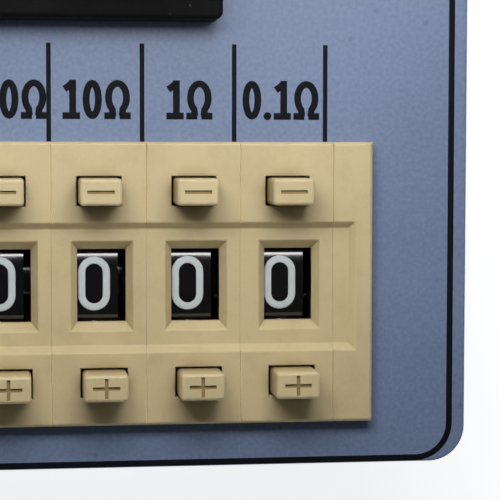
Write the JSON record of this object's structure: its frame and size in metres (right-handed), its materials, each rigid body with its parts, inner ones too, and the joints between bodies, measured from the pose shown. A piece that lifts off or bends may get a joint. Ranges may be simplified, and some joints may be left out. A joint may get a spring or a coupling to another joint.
{
  "type": "resistance decade box",
  "caption": "Hand-held resistance decade box: moulded case, printed panel, bank of push-wheel decades with plus and minus keys, and two binding posts on a raised block.",
  "frame": {"origin": "on the surface that the feet rest on, under the middle of the case", "axes": "+X to the right of the panel, +Y towards the panel's top end, +Z out of the panel's face; the box lies on its back"},
  "size_m": [0.08, 0.14, 0.0618],
  "materials": {
    "panel_paint": "satin blue-grey paint, fine mottle",
    "case_shell": "fine textured blue-grey moulding",
    "beige_plastic": "satin moulded beige",
    "wheel_black": "gloss black",
    "black_plastic": "fine matte black moulding",
    "red_plastic": "semi-gloss red",
    "nickel": "nickel plate",
    "steel": "zinc-plated steel",
    "spring_steel": "bright spring steel",
    "contact_brass": "rolled brass",
    "rubber": "matte black rubber",
    "circuit_board": "green lacquered board",
    "resistor_body": "moulded blue",
    "cable_grey": "grey sheath"
  },
  "bodies": {
    "case": {"front_panel": "panel_paint", "front_shell": "case_shell", "rear_cover": "case_shell", "case_screws": "steel", "rubber_feet": "rubber", "terminal_block": "black_plastic", "post_studs": "nickel", "solder_lugs": "contact_brass", "post_nuts": "steel", "end_plate_left": "beige_plastic", "end_plate_right": "beige_plastic", "tie_screws": "steel", "tie_nuts": "steel", "minus_springs": "spring_steel", "plus_springs": "spring_steel", "detent_springs": "spring_steel", "contact_boards": "circuit_board", "resistor_board": "circuit_board", "resistors": "resistor_body", "ribbon_cable": "cable_grey", "lead_wires": "cable_grey", "switch_housing_1": "beige_plastic", "switch_housing_2": "beige_plastic", "switch_housing_3": "beige_plastic", "switch_housing_4": "beige_plastic", "switch_housing_5": "beige_plastic", "switch_housing_6": "beige_plastic", "switch_housing_7": "beige_plastic"},
    "wheel_1": {"number_wheel_1": "wheel_black", "contact_wiper_1": "contact_brass"},
    "minus_1": {"minus_key_1": "beige_plastic"},
    "plus_1": {"plus_key_1": "beige_plastic"},
    "wheel_2": {"number_wheel_2": "wheel_black", "contact_wiper_2": "contact_brass"},
    "minus_2": {"minus_key_2": "beige_plastic"},
    "plus_2": {"plus_key_2": "beige_plastic"},
    "wheel_3": {"number_wheel_3": "wheel_black", "contact_wiper_3": "contact_brass"},
    "minus_3": {"minus_key_3": "beige_plastic"},
    "plus_3": {"plus_key_3": "beige_plastic"},
    "wheel_4": {"number_wheel_4": "wheel_black", "contact_wiper_4": "contact_brass"},
    "minus_4": {"minus_key_4": "beige_plastic"},
    "plus_4": {"plus_key_4": "beige_plastic"},
    "wheel_5": {"number_wheel_5": "wheel_black", "contact_wiper_5": "contact_brass"},
    "minus_5": {"minus_key_5": "beige_plastic"},
    "plus_5": {"plus_key_5": "beige_plastic"},
    "wheel_6": {"number_wheel_6": "wheel_black", "contact_wiper_6": "contact_brass"},
    "minus_6": {"minus_key_6": "beige_plastic"},
    "plus_6": {"plus_key_6": "beige_plastic"},
    "wheel_7": {"number_wheel_7": "wheel_black", "contact_wiper_7": "contact_brass"},
    "minus_7": {"minus_key_7": "beige_plastic"},
    "plus_7": {"plus_key_7": "beige_plastic"},
    "washer_red": {"clamp_washer_red": "nickel"},
    "cap_red": {"post_cap_red": "red_plastic"},
    "washer_black": {"clamp_washer_black": "nickel"},
    "cap_black": {"post_cap_black": "black_plastic"}
  },
  "joints": [
    {"name": "wheel_turn_1", "type": "hinge", "parent": "case", "child": "wheel_1", "pos_m": [-0.024, -0.05427, 0.0328], "axis": [1, 0, 0], "continuous": true, "deforming": ["detent_springs"]},
    {"name": "minus_press_1", "type": "slide", "parent": "case", "child": "minus_1", "axis": [0, 0, -1], "range_m": [0, 0.0025], "stiffness_N_per_m": 600, "springref_m": -0.0015, "deforming": ["minus_springs"]},
    {"name": "plus_press_1", "type": "slide", "parent": "case", "child": "plus_1", "axis": [0, 0, -1], "range_m": [0, 0.0025], "stiffness_N_per_m": 600, "springref_m": -0.0015, "deforming": ["plus_springs"]},
    {"name": "wheel_turn_2", "type": "hinge", "parent": "case", "child": "wheel_2", "pos_m": [-0.016, -0.05427, 0.0328], "axis": [1, 0, 0], "continuous": true, "deforming": ["detent_springs"]},
    {"name": "minus_press_2", "type": "slide", "parent": "case", "child": "minus_2", "axis": [0, 0, -1], "range_m": [0, 0.0025], "stiffness_N_per_m": 600, "springref_m": -0.0015, "deforming": ["minus_springs"]},
    {"name": "plus_press_2", "type": "slide", "parent": "case", "child": "plus_2", "axis": [0, 0, -1], "range_m": [0, 0.0025], "stiffness_N_per_m": 600, "springref_m": -0.0015, "deforming": ["plus_springs"]},
    {"name": "wheel_turn_3", "type": "hinge", "parent": "case", "child": "wheel_3", "pos_m": [-0.008, -0.05427, 0.0328], "axis": [1, 0, 0], "continuous": true, "deforming": ["detent_springs"]},
    {"name": "minus_press_3", "type": "slide", "parent": "case", "child": "minus_3", "axis": [0, 0, -1], "range_m": [0, 0.0025], "stiffness_N_per_m": 600, "springref_m": -0.0015, "deforming": ["minus_springs"]},
    {"name": "plus_press_3", "type": "slide", "parent": "case", "child": "plus_3", "axis": [0, 0, -1], "range_m": [0, 0.0025], "stiffness_N_per_m": 600, "springref_m": -0.0015, "deforming": ["plus_springs"]},
    {"name": "wheel_turn_4", "type": "hinge", "parent": "case", "child": "wheel_4", "pos_m": [0, -0.05427, 0.0328], "axis": [1, 0, 0], "continuous": true, "deforming": ["detent_springs"]},
    {"name": "minus_press_4", "type": "slide", "parent": "case", "child": "minus_4", "axis": [0, 0, -1], "range_m": [0, 0.0025], "stiffness_N_per_m": 600, "springref_m": -0.0015, "deforming": ["minus_springs"]},
    {"name": "plus_press_4", "type": "slide", "parent": "case", "child": "plus_4", "axis": [0, 0, -1], "range_m": [0, 0.0025], "stiffness_N_per_m": 600, "springref_m": -0.0015, "deforming": ["plus_springs"]},
    {"name": "wheel_turn_5", "type": "hinge", "parent": "case", "child": "wheel_5", "pos_m": [0.008, -0.05427, 0.0328], "axis": [1, 0, 0], "continuous": true, "deforming": ["detent_springs"]},
    {"name": "minus_press_5", "type": "slide", "parent": "case", "child": "minus_5", "axis": [0, 0, -1], "range_m": [0, 0.0025], "stiffness_N_per_m": 600, "springref_m": -0.0015, "deforming": ["minus_springs"]},
    {"name": "plus_press_5", "type": "slide", "parent": "case", "child": "plus_5", "axis": [0, 0, -1], "range_m": [0, 0.0025], "stiffness_N_per_m": 600, "springref_m": -0.0015, "deforming": ["plus_springs"]},
    {"name": "wheel_turn_6", "type": "hinge", "parent": "case", "child": "wheel_6", "pos_m": [0.016, -0.05427, 0.0328], "axis": [1, 0, 0], "continuous": true, "deforming": ["detent_springs"]},
    {"name": "minus_press_6", "type": "slide", "parent": "case", "child": "minus_6", "axis": [0, 0, -1], "range_m": [0, 0.0025], "stiffness_N_per_m": 600, "springref_m": -0.0015, "deforming": ["minus_springs"]},
    {"name": "plus_press_6", "type": "slide", "parent": "case", "child": "plus_6", "axis": [0, 0, -1], "range_m": [0, 0.0025], "stiffness_N_per_m": 600, "springref_m": -0.0015, "deforming": ["plus_springs"]},
    {"name": "wheel_turn_7", "type": "hinge", "parent": "case", "child": "wheel_7", "pos_m": [0.024, -0.05427, 0.0328], "axis": [1, 0, 0], "continuous": true, "deforming": ["detent_springs"]},
    {"name": "minus_press_7", "type": "slide", "parent": "case", "child": "minus_7", "axis": [0, 0, -1], "range_m": [0, 0.0025], "stiffness_N_per_m": 600, "springref_m": -0.0015, "deforming": ["minus_springs"]},
    {"name": "plus_press_7", "type": "slide", "parent": "case", "child": "plus_7", "axis": [0, 0, -1], "range_m": [0, 0.0025], "stiffness_N_per_m": 600, "springref_m": -0.0015, "deforming": ["plus_springs"]},
    {"name": "washer_lift_red", "type": "slide", "parent": "case", "child": "washer_red", "axis": [0, 0, 1], "range_m": [0, 0.005]},
    {"name": "cap_turn_red", "type": "hinge", "parent": "washer_red", "child": "cap_red", "pos_m": [-0.00953, -0.02095, 0.0614], "axis": [0, 0, 1], "range_deg": [0, 1801]},
    {"name": "washer_lift_black", "type": "slide", "parent": "case", "child": "washer_black", "axis": [0, 0, 1], "range_m": [0, 0.005]},
    {"name": "cap_turn_black", "type": "hinge", "parent": "washer_black", "child": "cap_black", "pos_m": [0.00953, -0.02095, 0.0614], "axis": [0, 0, 1], "range_deg": [0, 1801]}
  ],
  "couplings": [
    {"joint": "cap_turn_red", "follows": "washer_lift_red", "rad_per_m": 6283.2},
    {"joint": "cap_turn_black", "follows": "washer_lift_black", "rad_per_m": 6283.2}
  ]
}
